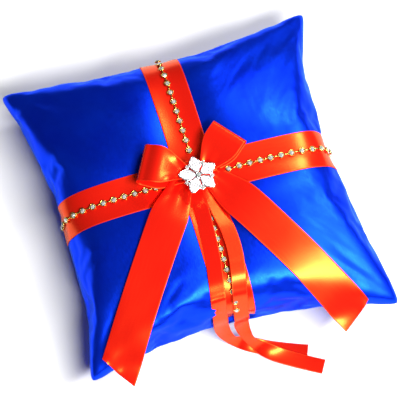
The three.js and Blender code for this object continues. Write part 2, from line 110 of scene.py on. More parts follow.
class PILLOW_PG_sizes(bpy.types.PropertyGroup):
    """Sizes that a maker would change."""

    ribbon: length("Wide ribbon", "Width of the bands and of the bow's ribbon", 25 * MM)
    tie: length("Ring tie", "Width of the narrow ribbon that holds the rings", 10 * MM)
    wall: length("Ribbon thickness", "Thickness of the satin ribbon", 0.35 * MM)
    side_pull: length("Side pull", "How far the middle of each side is drawn in", 16.5 * MM)
    ear_droop: length("Ear droop", "How far the ears hang below the seam", 2.5 * MM)
    puff: length("Puff", "How far the quarters of the cushion puff up between the bands", 6.5 * MM)
    pucker: length("Seam pucker", "Depth of the puckers along the edge seam", 0.55 * MM)
    cup: length("Cup width", "Width of one cup of the chains", 4.2 * MM)
    pitch: length("Chain pitch", "Distance from one cup to the next", 7 * MM)


class PILLOW_PG_colours(bpy.types.PropertyGroup):
    """Colours of the finishes."""

    blue: colour("Blue satin", "Royal blue face of the cushion", "#0a3cff")
    blue_shade: colour("Blue satin, shaded", "Royal blue where the weave turns away", "#062cf0")
    blue_gloss: colour("Blue gloss", "Tint of the gloss on the blue satin", "#58c4ff")
    red: colour("Red satin", "Orange-red face of the ribbon", "#ff1e14")
    red_shade: colour("Red satin, shaded", "Ribbon where the weave turns away", "#f41610")
    red_gloss: colour("Red gloss", "Tint of the gloss on the ribbon", "#ffca4c")
    gold: colour("Gold plate", "Cups and links of the chains", "#d2b45c")
    silver: colour("Silver plate", "Brooch's setting", "#eeeef2")
    stone: colour("Stone", "Foil-backed glass stones", "#8fa597")
    clear_stone: colour("Clear stone", "Small clear stones of the petals", "#f4f0f2")
    thread: colour("Thread", "Sewing thread", "#b01a10")
    table: colour("Table", "Pale table top", "#f4f4f4")


# ---------------------------------------------------------------- materials

def add(tree, kind, inputs=None, **settings):
    """Adds a node with its settings. An input is a value, or another node's output socket."""
    made = tree.nodes.new(kind)
    for key, value in settings.items():
        setattr(made, key, value)
    for key, value in (inputs or {}).items():
        if isinstance(value, bpy.types.NodeSocket):
            tree.links.new(value, made.inputs[key])
        else:
            made.inputs[key].default_value = value
    return made


def new_material(name, **shader):
    """A material with one Principled shader, whose constant sockets are set from shader."""
    made = bpy.data.materials.new(name)
    made.use_nodes = True
    tree = made.node_tree
    tree.nodes.clear()
    surface = add(tree, "ShaderNodeBsdfPrincipled", shader)
    add(tree, "ShaderNodeOutputMaterial", {0: surface.outputs[0]})
    return made, tree, surface


def new_satin(name, gloss, ior, metallic, sheen_roughness):
    """The shader that both satins share: strong gloss tinted by the dye, and a little sheen of loose fibre."""
    return new_material(name, **{
        "Specular IOR Level": 1.0, "IOR": ior, "Specular Tint": gloss, "Metallic": metallic,
        "Sheen Weight": 0.05, "Sheen Roughness": sheen_roughness, "Sheen Tint": gloss})


def wire(tree, surface, **sockets):
    """Links outputs to the shader's inputs, which are named with underscores for spaces."""
    for name, socket in sockets.items():
        tree.links.new(socket, surface.inputs[name.replace("_", " ")])


def own_place(tree):
    return add(tree, "ShaderNodeTexCoord").outputs["Object"]


def noise(tree, vector, scale, detail=2.0):
    """A cloudy pattern from 0 to 1."""
    return add(tree, "ShaderNodeTexNoise", {"Vector": vector, "Scale": scale, "Detail": detail}).outputs[0]


def ranged(tree, value, low, high):
    """A pattern from 0 to 1 spread over low to high."""
    return add(tree, "ShaderNodeMapRange", {"Value": value, "To Min": low, "To Max": high}).outputs[0]


def multiply_add(tree, value, factor, addend):
    return add(tree, "ShaderNodeMath", {0: value, 1: factor, 2: addend}, operation="MULTIPLY_ADD").outputs[0]


def relief(tree, height, strength):
    """Shallow relief, up to 0.1 mm deep."""
    return add(tree, "ShaderNodeBump",
               {"Height": height, "Strength": strength, "Distance": 0.1 * MM}).outputs[0]


def mix_colours(tree, share, low, high):
    """Two colours mixed by a share, as an output socket."""
    mixer = add(tree, "ShaderNodeMix", data_type="RGBA")
    tree.links.new(share, mixer.inputs[0])
    mixer.inputs[6].default_value = low
    mixer.inputs[7].default_value = high
    return mixer.outputs[2]


def satin_pillow_blue():
    """Polyester satin, woven warp-faced: long smooth floats that give a broad, soft, tinted gloss and
    fine streaks along the warp."""
    tones = bpy.context.scene.pillow_colours
    made, tree, surface = new_satin("woven_blue_satin", tones.blue_gloss, 1.6, 0.85, 0.35)
    place = own_place(tree)
    # The floats of the weave: 0.3 mm wide, drawn 0.7 mm wide and 3 mm long, so that they show.
    warp = add(tree, "ShaderNodeMapping", {"Vector": place, "Scale": (1.4 / MM, 0.35 / MM, 0.7 / MM)})
    floats = noise(tree, warp.outputs[0], 1.0)
    # Slight cloudiness of the dye, over some 30 mm.
    cloud = noise(tree, place, 0.03 / MM)
    tint = add(tree, "ShaderNodeMapRange", {"Value": cloud, "From Min": 0.3, "From Max": 0.7})
    wire(tree, surface, Base_Color=mix_colours(tree, tint.outputs[0], tones.blue_shade, tones.blue),
         Roughness=ranged(tree, floats, 0.26, 0.46), Normal=relief(tree, floats, 0.1))
    return made


def satin_ribbon_red():
    """Single-face satin ribbon: glossy floats across most of the width, fine ribs of weft across it, and
    a duller woven edge 0.8 mm wide. The UV map runs across the ribbon and along it in millimetres."""
    tones = bpy.context.scene.pillow_colours
    made, tree, surface = new_satin("satin_ribbon_red", tones.red_gloss, 1.75, 0.4, 0.3)
    place = add(tree, "ShaderNodeUVMap", uv_map="weave").outputs[0]
    along = add(tree, "ShaderNodeMapping", {"Vector": place, "Scale": (2.2, 0.08, 1.0)})
    streak = noise(tree, along.outputs[0], 1.0, 1.0)
    # Weft ribs: 0.4 mm on the ribbon, drawn 0.9 mm apart so that they show.
    ribs = add(tree, "ShaderNodeTexWave", {"Vector": place, "Scale": 0.18, "Distortion": 0.6},
               wave_type="BANDS", bands_direction="Y")
    edge = add(tree, "ShaderNodeAttribute", attribute_name="selvedge")
    tone = ranged(tree, streak, 0.3, 0.7)
    dull = multiply_add(tree, edge.outputs["Fac"], 0.3, ranged(tree, streak, 0.22, 0.28))
    ribbed = multiply_add(tree, ribs.outputs["Fac"], 0.35, streak)
    wire(tree, surface, Base_Color=mix_colours(tree, tone, tones.red_shade, tones.red),
         Roughness=dull, Normal=relief(tree, ribbed, 0.06))
    return made


def plated_metal(name, tone, roughness):
    """Bright plating over a stamped part: smooth, with faint ripples from the stamping."""
    tone = getattr(bpy.context.scene.pillow_colours, tone)
    made, tree, surface = new_material(name, **{"Base Color": tone, "Metallic": 1.0})
    ripple = noise(tree, own_place(tree), 1 / MM)
    wire(tree, surface, Roughness=ranged(tree, ripple, roughness * 0.7, roughness * 1.3),
         Normal=relief(tree, ripple, 0.08))
    return made


def cut_glass(name, tone, metallic):
    """Cut glass with foil behind it, under clear gloss. Small cells of the stone are painted white towards
    their middles, as painted glints standing in for its bright facets.
    """
    tone = getattr(bpy.context.scene.pillow_colours, tone)
    made, tree, surface = new_material(
        name, **{"Metallic": metallic, "IOR": 1.6, "Coat Weight": 1.0, "Coat Roughness": 0.02})
    # Painted glints: a Voronoi pattern mixes white into the stone's colour at the middle of each cell, and
    # makes it glossier there.
    cells = add(tree, "ShaderNodeTexVoronoi", {"Vector": own_place(tree), "Scale": 0.7 / MM})
    painted_glint = cells.outputs["Distance"]
    wire(tree, surface, Base_Color=mix_colours(tree, painted_glint, WHITE, tone),
         Roughness=ranged(tree, painted_glint, 0.03, 0.12))
    return made


def spun_thread():
    """Sewing thread: dull, with the twist of its strands."""
    tones = bpy.context.scene.pillow_colours
    made, tree, surface = new_material("spun_polyester_thread", **{"Sheen Weight": 0.3})
    twist = add(tree, "ShaderNodeTexWave", {"Vector": own_place(tree), "Scale": 0.6 / MM},
                bands_direction="DIAGONAL").outputs["Fac"]
    wire(tree, surface, Base_Color=mix_colours(tree, twist, tones.red_shade, tones.thread),
         Roughness=ranged(tree, twist, 0.55, 0.8))
    return made


def matt_table():
    """Plain pale paper-like table top."""
    tones = bpy.context.scene.pillow_colours
    made, tree, surface = new_material("matt_table_top", **{"Base Color": tones.table})
    wire(tree, surface, Roughness=ranged(tree, noise(tree, own_place(tree), 0.5 / MM), 0.75, 0.9))
    return made


WHITE = hex_colour("#ffffff")
FINISHES = {
    "blue_satin": (satin_pillow_blue,),
    "red_satin": (satin_ribbon_red,),
    "gold_cups": (plated_metal, "gold_plate", "gold", 0.22),
    "silver_setting": (plated_metal, "rhodium_plate", "silver", 0.16),
    "cut_stones": (cut_glass, "foiled_cut_glass", "stone", 0.5),
    "clear_stones": (cut_glass, "clear_cut_glass", "clear_stone", 0.1),
    "red_thread": (spun_thread,),
    "table": (matt_table,),
}
MADE_FINISHES = {}


def finish_of(slot):
    """The material of a record slot, made once."""
    if slot not in MADE_FINISHES:
        maker, *details = FINISHES[slot]
        MADE_FINISHES[slot] = maker(*details)
    return MADE_FINISHES[slot]


# ---------------------------------------------------------------- meshes

def mesh_object(name, verts, faces, material=None, smooth=True):
    mesh = bpy.data.meshes.new(name)
    mesh.from_pydata([tuple(map(float, v)) for v in verts], [], [tuple(map(int, f)) for f in faces])
    mesh.update()
    if smooth:
        mesh.polygons.foreach_set("use_smooth", [True] * len(mesh.polygons))
    made = bpy.data.objects.new(name, mesh)
    bpy.context.scene.collection.objects.link(made)
    if material:
        mesh.materials.append(material)
    return made


def modify(obj, kind, **settings):
    made = obj.modifiers.new(kind.lower(), kind)
    for key, value in settings.items():
        setattr(made, key, value)
    return made


def attach(obj, body, slot, *nodes):
    """The piece takes its finish from slot, rides on body and stands for the named nodes."""
    if not obj.data.materials:
        obj.data.materials.append(finish_of(slot))
    if nodes:
        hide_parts(*nodes)
    if body:
        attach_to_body(obj, body)
    return obj


def repaint(slot, *nodes):
    """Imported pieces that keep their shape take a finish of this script."""
    for node in nodes:
        mesh = frame["nodes"][node].data
        mesh.materials.clear()
        mesh.materials.append(finish_of(slot))


def circle(radius, steps, z, start=0.0):
    """Places round a circle at height z, turned by a share of a step."""
    turns = [2 * math.pi * (i + start) / steps for i in range(steps)]
    return [(radius * math.cos(turn), radius * math.sin(turn), z) for turn in turns]


def lathe(profile, steps):
    """Vertices and faces of a closed turned shape. The profile starts and ends on the axis."""
    verts = [(0, 0, profile[0][1])]
    faces = []
    rings = profile[1:-1]
    for radius, z in rings:
        verts.extend(circle(radius, steps, z))
    verts.append((0, 0, profile[-1][1]))
    top = len(verts) - 1
    for i in range(steps):
        j = (i + 1) % steps
        faces.append((0, 1 + j, 1 + i))
        for k in range(len(rings) - 1):
            a, b = 1 + k * steps, 1 + (k + 1) * steps
            faces.append((a + i, a + j, b + j, b + i))
        last = 1 + (len(rings) - 1) * steps
        faces.append((last + i, last + j, top))
    return verts, faces


def joined(parts):
    """One list of vertices and one of faces from several."""
    verts, faces = [], []
    for part_verts, part_faces in parts:
        start = len(verts)
        verts.extend(part_verts)
        faces.extend(tuple(i + start for i in face) for face in part_faces)
    return verts, faces


def moved(part, matrix):
    verts, faces = part
    return [tuple(matrix @ Vector(v)) for v in verts], faces


def smoothstep(x, low, high):
    t = np.clip((np.asarray(x, float) - low) / (high - low), 0, 1)
    return t * t * (3 - 2 * t)


# ---------------------------------------------------------------- cushion

CELLS = 88                  # cells of the cloth along each side
CUT_SIDE = 212 * MM         # side of each square of satin inside its seam
SIM_FRAMES = 20             # frames that the cloth is blown up for
# The satin as the simulation takes it: light, stiff in its plane and soft in bending.
SATIN_CLOTH = {
    "quality": 5, "mass": 0.02 * (48 / CELLS) ** 2, "tension_stiffness": 15, "compression_stiffness": 6,
    "shear_stiffness": 4, "bending_stiffness": 0.12, "use_pressure": True, "uniform_pressure_force": 4,
}
START_DOME = 8 * MM         # bulge of each square before it is blown up
EAR_REACH = 2 * MM          # how far the ears reach past the frame's corners before they are blunted
EAR_PLUMP = 30 * MM         # height of the dome that the stuffed ears follow
EAR_BLUNT = 3.6 * MM        # how far the turned corners are blunted
VALLEY_HALF = 16 * MM       # half the width of the valley that each tight ribbon presses in
VALLEY_SHARE = 0.72         # share of the puff that it takes away
CROSSING_RADIUS = 21 * MM   # the flat round the ribbons' crossing
EAR_FROM, EAR_TO = 0.5, 0.88    # where the ears begin, and where they are full
BLUNT_SHARE = 0.7
PUCKER_REACH = 0.11         # how far in from the seam the puckers reach, as a share of the cloth
BACK_ROUND = 5 * MM         # how far the back would bulge below the table that flattens it
PRESS_BLEND = 2.5 * MM      # how softly it flattens
# Size, pace and shift from side to side of the waves that add up to the puckers.
PUCKER_WAVES = ((1, 38, 1.7), (0.7, 61, 2.9), (0.5, 23, 1))
# The stuffing isn't even: millimetres that the middle of each side lies towards the back or the right,
# and the change of that along the side.
SIDE_SHIFTS = {"front": (3, 1.5), "back": (3, -1), "left": (-0.75, -1.5), "right": (1.5, -6)}
# Each ear's own pull away from the square, in millimetres.
EAR_PULLS = {(-1, 1): (-1.8, 1.4), (1, 1): (-0.3, 2.4), (1, -1): (1.2, -3.0), (-1, -1): (1.9, 1.4)}
CUSHION = {}                # the finished front grid, for what lies on it


def flat_grid():
    share = np.linspace(-1, 1, CELLS + 1)
    return np.meshgrid(share, share)


def cushion_mesh(name, front, back):
    """Front and back grids sewn along their shared edge. Returns the object and both index grids."""
    count = CELLS + 1
    front_index = np.arange(count * count).reshape(count, count)
    back_index = front_index.copy()
    verts = list(front.reshape(-1, 3))
    for row in range(1, CELLS):
        for column in range(1, CELLS):
            back_index[row, column] = len(verts)
            verts.append(back[row, column])
    faces = []
    for row in range(CELLS):
        for column in range(CELLS):
            for index, order in ((front_index, 1), (back_index, -1)):
                face = [index[row, column], index[row, column + 1],
                        index[row + 1, column + 1], index[row + 1, column]]
                faces.append(face[::order])
    return mesh_object(name, verts, faces), front_index, back_index


def inflated_grids():
    """Two squares of satin sewn together flat and blown up by cloth simulation."""
    u, v = flat_grid()
    room = (1 - u * u) * (1 - v * v)
    front = np.stack([u * CUT_SIDE / 2, v * CUT_SIDE / 2, START_DOME * np.sqrt(room)], -1)
    cloth, front_index, back_index = cushion_mesh("inflating", front, front * (1, 1, -1))
    settings = modify(cloth, "CLOTH").settings
    for key, value in SATIN_CLOTH.items():
        setattr(settings, key, value)
    settings.effector_weights.gravity = 0
    cloth.modifiers[0].collision_settings.use_collision = False
    cloth.modifiers[0].point_cache.frame_end = SIM_FRAMES + 1
    for step in range(1, SIM_FRAMES + 1):
        bpy.context.scene.frame_set(step)
    shaped = cloth.evaluated_get(bpy.context.evaluated_depsgraph_get()).data
    places = np.array([v.co[:] for v in shaped.vertices])
    bpy.data.objects.remove(cloth)
    bpy.context.scene.frame_set(1)
    return places[front_index], places[back_index]


def fitted(front, back):
    """The inflated shape at the cushion's real size: the ears on the corners of the frame, the crown
    at its height, the sides drawn in and the underside flat where it lies on the table."""
    sizes = bpy.context.scene.pillow_sizes
    u, v = flat_grid()
    room = (1 - u ** 2) * (1 - v ** 2)
    middle = CELLS // 2
    half_height = (front[middle, middle, 2] - back[middle, middle, 2]) / 2
    tip = np.abs(front[[0, 0, -1, -1], [0, -1, 0, -1], :2]).mean()
    side = (np.abs(front[middle, [0, -1], 0]).mean() + np.abs(front[[0, -1], middle, 1]).mean()) / 2
    grow = (HALF + EAR_REACH) / tip
    extra = sizes.side_pull - (tip - side) * grow
    for grid in (front, back):
        grid[..., :2] *= grow
        grid[..., 0] -= extra * (1 - v ** 2) * u * np.abs(u)
        grid[..., 1] -= extra * (1 - u ** 2) * v * np.abs(v)
    front[..., 2] *= (CROWN - SEAM) / half_height
    back[..., 2] *= (SEAM + BACK_ROUND) / half_height
    # The tight ribbons draw the cushion in along both bands, so the four quarters puff up between them.
    x, y = front[..., 0], front[..., 1]
    beside_lengthwise, beside_crosswise = (1 - VALLEY_SHARE * np.exp(-(a / VALLEY_HALF) ** 2) for a in (x, y))
    beside_crossing = 1 - np.exp(-(x ** 2 + y ** 2) / CROSSING_RADIUS ** 2)
    front[..., 2] += sizes.puff * (beside_lengthwise * beside_crosswise) * beside_crossing * room ** 0.5
    # The stuffing fills the ears, and their turned corners are blunt.
    ear = smoothstep(np.abs(u * v), EAR_FROM, EAR_TO)
    plump = EAR_PLUMP * room ** 0.38
    blunt = EAR_BLUNT * np.exp(-(2 - np.abs(u) - np.abs(v)) * HALF / EAR_BLUNT)
    for grid, way in ((front, 1), (back, -1)):
        grid[..., 2] = grid[..., 2] * (1 - ear) + way * plump * ear
        grid[..., 0] -= np.sign(u) * blunt * BLUNT_SHARE
        grid[..., 1] -= np.sign(v) * blunt * BLUNT_SHARE
    # Puckers where the stitches draw the edge seam together, and the ears' droop.
    beside = np.abs(u) > np.abs(v)
    along = np.where(beside, v, u)
    edge = np.maximum(np.abs(u), np.abs(v))
    side_number = np.where(beside, np.sign(u), 2 + np.sign(v))
    wave = sum(size * np.sin(along * pace + side_number * shift) for size, pace, shift in PUCKER_WAVES)
    pucker = sizes.pucker * wave * np.exp(-((1 - edge) / PUCKER_REACH) ** 1.5) * (1 - along ** 4)
    droop = sizes.ear_droop * np.abs(u * v) ** 3
    for grid in (front, back):
        grid[..., 2] += SEAM + pucker - droop
    # The underside rests on the table, and rounds up to the seam.
    low = PRESS_BLEND * np.log1p(np.exp(np.clip(back[..., 2] / PRESS_BLEND, -30, 30)))
    back[..., 2] = np.maximum(low - PRESS_BLEND * np.log(2) * np.exp(-low / PRESS_BLEND * 2), 0)
    back[[0, -1], :] = front[[0, -1], :]
    back[:, [0, -1]] = front[:, [0, -1]]
    for grid in (front, back):
        for axis, share, along, near, far in ((1, v, u, "front", "back"), (0, u, v, "left", "right")):
            bows = [(SIDE_SHIFTS[name][0] + SIDE_SHIFTS[name][1] * along) * share ** 2 for name in (near, far)]
            grid[..., axis] += (1 - along ** 2) * MM * np.where(share < 0, *bows)
        for (su, sv), (dx, dy) in EAR_PULLS.items():
            weight = ((1 + su * u) * (1 + sv * v) / 4) ** 1.5
            grid[..., 0] += dx * MM * weight
            grid[..., 1] += dy * MM * weight
    return front, back


def front_at(u, v):
    """Places on the cushion's front at shares u and v of the cloth, from -1 to 1."""
    grid = CUSHION["front"]
    column, row = (np.clip((np.asarray(share, float) + 1) / 2 * CELLS, 0, CELLS - 1e-6) for share in (u, v))
    c, r = column.astype(int), row.astype(int)
    s, t = (column - c)[..., None], (row - r)[..., None]
    low = grid[r, c] * (1 - s) + grid[r, c + 1] * s
    high = grid[r + 1, c] * (1 - s) + grid[r + 1, c + 1] * s
    return low * (1 - t) + high * t


def front_normal(u, v):
    nudge = 0.03
    along_u = front_at(np.minimum(u + nudge, 1), v) - front_at(np.maximum(u - nudge, -1), v)
    along_v = front_at(u, np.minimum(v + nudge, 1)) - front_at(u, np.maximum(v - nudge, -1))
    normal = np.cross(along_u, along_v)
    return normal / np.linalg.norm(normal, axis=-1, keepdims=True)


def front_height(x, y):
    """Height of the cushion's front above a place on the table, or the seam's height beside it."""
    hit = CUSHION["tree"].ray_cast(Vector((x, y, 0.2)), Vector((0, 0, -1)))[0]
    return hit.z if hit else SEAM - 6 * MM


class PILLOW_OT_cushion(bpy.types.Operator):
    """Inflate the satin cushion, sewn along its edge"""

    bl_idname = "pillow.cushion"
    bl_label = "Cushion"

    def execute(self, context):
        front, back = fitted(*inflated_grids())
        cover, front_index, back_index = cushion_mesh("cushion_cover", front, back)
        CUSHION["front"] = front
        CUSHION["tree"] = BVHTree.FromPolygons(
            [v.co for v in cover.data.vertices], [p.vertices[:] for p in cover.data.polygons])
        edge = set(front_index[0]) | set(front_index[-1]) | set(front_index[:, 0]) | set(front_index[:, -1])
        crease = cover.data.attributes.new("crease_edge", "FLOAT", "EDGE")
        for i, e in enumerate(cover.data.edges):
            if e.vertices[0] in edge and e.vertices[1] in edge:
                crease.data[i].value = 0.8
        modify(cover, "SUBSURF", levels=1, render_levels=1)
        attach(cover, "pillow", "blue_satin", "cover_front", "cover_back", "filling")
        return {"FINISHED"}


# ---------------------------------------------------------------- ribbons

LIFT_FLAT = 0.25 * MM       # gap under a band, and between crossed bands
CROSS_DROP = 2.6 * MM       # how far the crosswise band lies in front of its packed place
CROSS_SHIFT = (float(sum(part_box("band_crosswise")[i][1] for i in (0, 1))) / 2 - CROSS_DROP) / HALF
SELVEDGE = 0.8 * MM         # width of a ribbon's woven edge


def ribbon(name, rows, width, body, nodes, held, rests_on):
    """A ribbon from rows of places on its underside, each row running across it. It gets a UV map
    in millimetres, across and along, and a selvedge attribute that is 1 on its woven edges."""
    rows = np.asarray(rows)
    count, across = rows.shape[:2]
    faces = [(r * across + c, r * across + c + 1, (r + 1) * across + c + 1, (r + 1) * across + c)
             for r in range(count - 1) for c in range(across - 1)]
    made = mesh_object(name, rows.reshape(-1, 3), faces, finish_of("red_satin"))
    run = run_along(rows[:, across // 2])
    side = np.linspace(-0.5, 0.5, across) * width
    corner = np.array([loop.vertex_index for loop in made.data.loops])
    places = np.stack([side[corner % across], run[corner // across]], -1) / MM
    made.data.uv_layers.new(name="weave").data.foreach_set("uv", places.ravel())
    selvedge = made.data.attributes.new("selvedge", "FLOAT", "POINT")
    edge = (np.abs(side) > width / 2 - SELVEDGE).astype(float)
    selvedge.data.foreach_set("value", np.tile(edge, count))
    ends = set(range(across)) | set(range((count - 1) * across, count * across))
    made.data.attributes.new("crease_edge", "FLOAT", "EDGE")
    for line in made.data.edges:
        if set(line.vertices) <= ends:
            made.data.attributes["crease_edge"].data[line.index].value = 1.0
            line.use_edge_sharp = True
    wall = bpy.context.scene.pillow_sizes.wall
    modify(made, "SOLIDIFY", thickness=wall, offset=1.0, use_even_offset=False, edge_crease_rim=0.6)
    modify(made, "SUBSURF", levels=1, render_levels=1)
    attach(made, body, "red_satin", *nodes)
    return made


def run_along(places):
    """Distance of each place from the first, along the line through them."""
    return np.concatenate([[0], np.cumsum(np.linalg.norm(np.diff(places, axis=0), axis=1))])


def smoothed(rows, times):
    """Rows drawn towards their neighbours. The two ends stay."""
    rows = np.array(rows)
    for _ in range(times):
        rows[1:-1] = (rows[:-2] + 2 * rows[1:-1] + rows[2:]) / 4
    return rows


def across_shares(width):
    """Shares across a ribbon, with lines close to both edges for the woven selvedge."""
    edge = 0.5 - SELVEDGE / width
    return np.array([-0.5, -edge, -0.36, -0.18, 0.0, 0.18, 0.36, edge, 0.5])


def band_rows(lengthwise, lift):
    """Rows of a band that follows the cloth from seam to seam. lift(place) is its height above it."""
    sizes = bpy.context.scene.pillow_sizes
    shares = across_shares(sizes.ribbon) * sizes.ribbon / (CUT_SIDE / 2)
    even = np.linspace(-1, 1, 75)
    rows = []
    for run in np.sin(even * math.pi / 2) * 0.3 + even * 0.7:       # closer together near the seams
        here = np.full_like(shares, run)
        u, v = (shares, here) if lengthwise else (here, -shares + CROSS_SHIFT)
        rows.append(front_at(u, v) + front_normal(u, v) * lift(run))
    return smoothed(rows, 2)


class PILLOW_OT_bands(bpy.types.Operator):
    """Lay the two crossed bands over the cushion, from seam to seam"""

    bl_idname = "pillow.bands"
    bl_label = "Bands"

    def execute(self, context):
        sizes = context.scene.pillow_sizes
        step_up = sizes.wall + LIFT_FLAT
        half = sizes.ribbon / CUT_SIDE

        def over_the_other(run):
            return LIFT_FLAT + step_up * float(1 - smoothstep(abs(run), half * 1.1, half * 1.8))

        ribbon("band_lengthwise_ribbon", band_rows(True, lambda run: LIFT_FLAT), sizes.ribbon,
               "pillow", ["band_lengthwise"], "stretched", ["cushion_cover"])
        ribbon("band_crosswise_ribbon", band_rows(False, over_the_other), sizes.ribbon,
               "pillow", ["band_crosswise"], "stretched", ["cushion_cover", "band_lengthwise_ribbon"])
        return {"FINISHED"}


# ---------------------------------------------------------------- repeated shapes

def scatter_tree():
    """Geometry Nodes that set a shape on every point, turned by the points' own turn attribute and
    each with a small random spin, and give it a material."""
    tree = bpy.data.node_groups.new("set_shape_on_points", "GeometryNodeTree")
    face = tree.interface
    for name, kind in (("Geometry", "Geometry"), ("Shape", "Object"), ("Material", "Material"),
                       ("Size", "Float"), ("Spin", "Float"), ("Seed", "Int")):
        face.new_socket(name, in_out="INPUT", socket_type="NodeSocket" + kind)
    face.new_socket("Geometry", in_out="OUTPUT", socket_type="NodeSocketGeometry")
    ins = add(tree, "NodeGroupInput").outputs
    shape = add(tree, "GeometryNodeObjectInfo", {"Object": ins["Shape"]})
    turn = add(tree, "GeometryNodeInputNamedAttribute", {"Name": "turn"}, data_type="QUATERNION")
    low = add(tree, "ShaderNodeMath", {0: ins["Spin"], 1: -1.0}, operation="MULTIPLY")
    spin = add(tree, "FunctionNodeRandomValue", {2: low.outputs[0], 3: ins["Spin"], "Seed": ins["Seed"]},
               data_type="FLOAT")
    euler = add(tree, "ShaderNodeCombineXYZ", {"Z": spin.outputs[1]})
    own = add(tree, "FunctionNodeEulerToRotation", {0: euler.outputs[0]})
    both = add(tree, "FunctionNodeRotateRotation", {"Rotation": turn.outputs[0], "Rotate By": own.outputs[0]},
               rotation_space="LOCAL")
    placed = add(tree, "GeometryNodeInstanceOnPoints",
                 {"Points": ins["Geometry"], "Instance": shape.outputs["Geometry"],
                  "Rotation": both.outputs[0], "Scale": ins["Size"]})
    real = add(tree, "GeometryNodeRealizeInstances", {0: placed.outputs[0]})
    painted = add(tree, "GeometryNodeSetMaterial", {"Geometry": real.outputs[0], "Material": ins["Material"]})
    add(tree, "NodeGroupOutput", {0: painted.outputs[0]})
    return tree


def scatter(name, shape, places, slot, nodes=(), spin=0.0, seed=1, smooth=False, finish=None):
    """Sets a shape on places, each (position, normal, forward), and makes one plain mesh."""
    tree = bpy.data.node_groups.get("set_shape_on_points") or scatter_tree()
    holder = mesh_object(name + "_points", [p[0] for p in places], [])
    turns = holder.data.attributes.new("turn", "QUATERNION", "POINT")
    for i, (_, normal, forward) in enumerate(places):
        z = Vector(normal).normalized()
        x = Vector(forward)
        x = (x - z * x.dot(z)).normalized()
        turns.data[i].value = Matrix((x, z.cross(x), z)).transposed().to_quaternion()
    pattern = mesh_object(name + "_shape", *shape)
    modifier = holder.modifiers.new("scatter", "NODES")
    modifier.node_group = tree
    values = {"Shape": pattern, "Material": finish_of(finish or slot), "Size": 1.0, "Spin": spin, "Seed": seed}
    for item in tree.interface.items_tree:
        if item.in_out == "INPUT" and item.name in values:
            modifier[item.identifier] = values[item.name]
    holder.update_tag()
    evaluated = holder.evaluated_get(bpy.context.evaluated_depsgraph_get())
    mesh = bpy.data.meshes.new_from_object(evaluated)
    holder.modifiers.clear()
    bpy.data.objects.remove(holder)
    bpy.data.objects.remove(pattern)
    made = bpy.data.objects.new(name, mesh)
    bpy.context.scene.collection.objects.link(made)
    mesh.polygons.foreach_set("use_smooth", [smooth] * len(mesh.polygons))
    return attach(made, "pillow", slot, *nodes)


def cup_shape(radius, height):
    """A stamped cup with four prongs bent over the stone."""
    profile = [(0, 0), (radius * 0.75, 0), (radius * 0.98, height * 0.25), (radius, height * 0.62),
               (radius * 0.86, height * 0.66), (radius * 0.8, height * 0.3), (0, height * 0.3)]
    parts = [lathe(profile, 16)]
    prong = lathe([(0, height * 0.5), (0.3 * MM, height * 0.55), (0.24 * MM, height * 0.95), (0, height)], 6)
    for i in range(4):
        lean = Matrix.Rotation(math.pi / 4 + i * math.pi / 2, 4, "Z") @ \
            Matrix.Translation((radius * 0.86, 0, height * 0.5)) @ Matrix.Rotation(-0.45, 4, "Y") @ \
            Matrix.Translation((0, 0, -height * 0.5))
        parts.append(moved(prong, lean))
    return joined(parts)


def stone_shape(radius, height, sides=8):
    """A round stone with a table, a row of star facets and a crown."""
    verts = [(0, 0, 0)] + circle(radius * 0.56, sides, height) + circle(radius, sides, height * 0.4, 0.5)
    faces = [tuple(range(1, sides + 1))]
    for i in range(sides):
        table, girdle = 1 + i, 1 + sides + i
        next_table, next_girdle = 1 + (i + 1) % sides, 1 + sides + (i + 1) % sides
        faces.append((table, girdle, next_table))
        faces.append((girdle, next_girdle, next_table))
        faces.append((0, next_girdle, girdle))
    return verts, faces


# ---------------------------------------------------------------- chains

CHAIN_LIFT = 0.75 * MM          # height of the cups' undersides, over the cushion
CHAIN_START = 20 * MM / HALF    # share of the cloth where each run comes out from under the bow
CHAIN_END = 0.985               # and where the seam takes it
CUP_HEIGHT = 1.7 * MM


def chain_places(way, aside):
    """Seats of the cups along a line of the cloth, one pitch apart, and of the links between. way is
    the line's direction in u and v, and aside is its shift in v."""
    pitch = bpy.context.scene.pillow_sizes.pitch
    shares = np.linspace(0, 1, 600)
    u, v = (w * CHAIN_START + (w * CHAIN_END - w * CHAIN_START) * shares for w in way)
    v = v + aside
    places, normals = front_at(u, v), front_normal(u, v)
    run = run_along(places)
    seats = []
    for k in range(int(run[-1] / pitch) + 1):
        i = min(int(np.searchsorted(run, k * pitch)), len(run) - 2)
        seats.append((places[i] + normals[i] * CHAIN_LIFT, normals[i], places[i + 1] - places[i]))
    links = [((a[0] + b[0]) / 2 + a[1] * CHAIN_LIFT, a[1] + b[1], b[0] - a[0])
             for a, b in zip(seats[:-1], seats[1:])]
    return seats, links


def link_shape(length, thick):
    """A short bar along X with rounded ends, between two cups."""
    bar = lathe([(0, -length / 2), (thick * 0.8, -length / 2 + thick / 2), (thick, 0),
                 (thick * 0.8, length / 2 - thick / 2), (0, length / 2)], 8)
    return moved(bar, Matrix.Rotation(math.pi / 2, 4, "Y"))


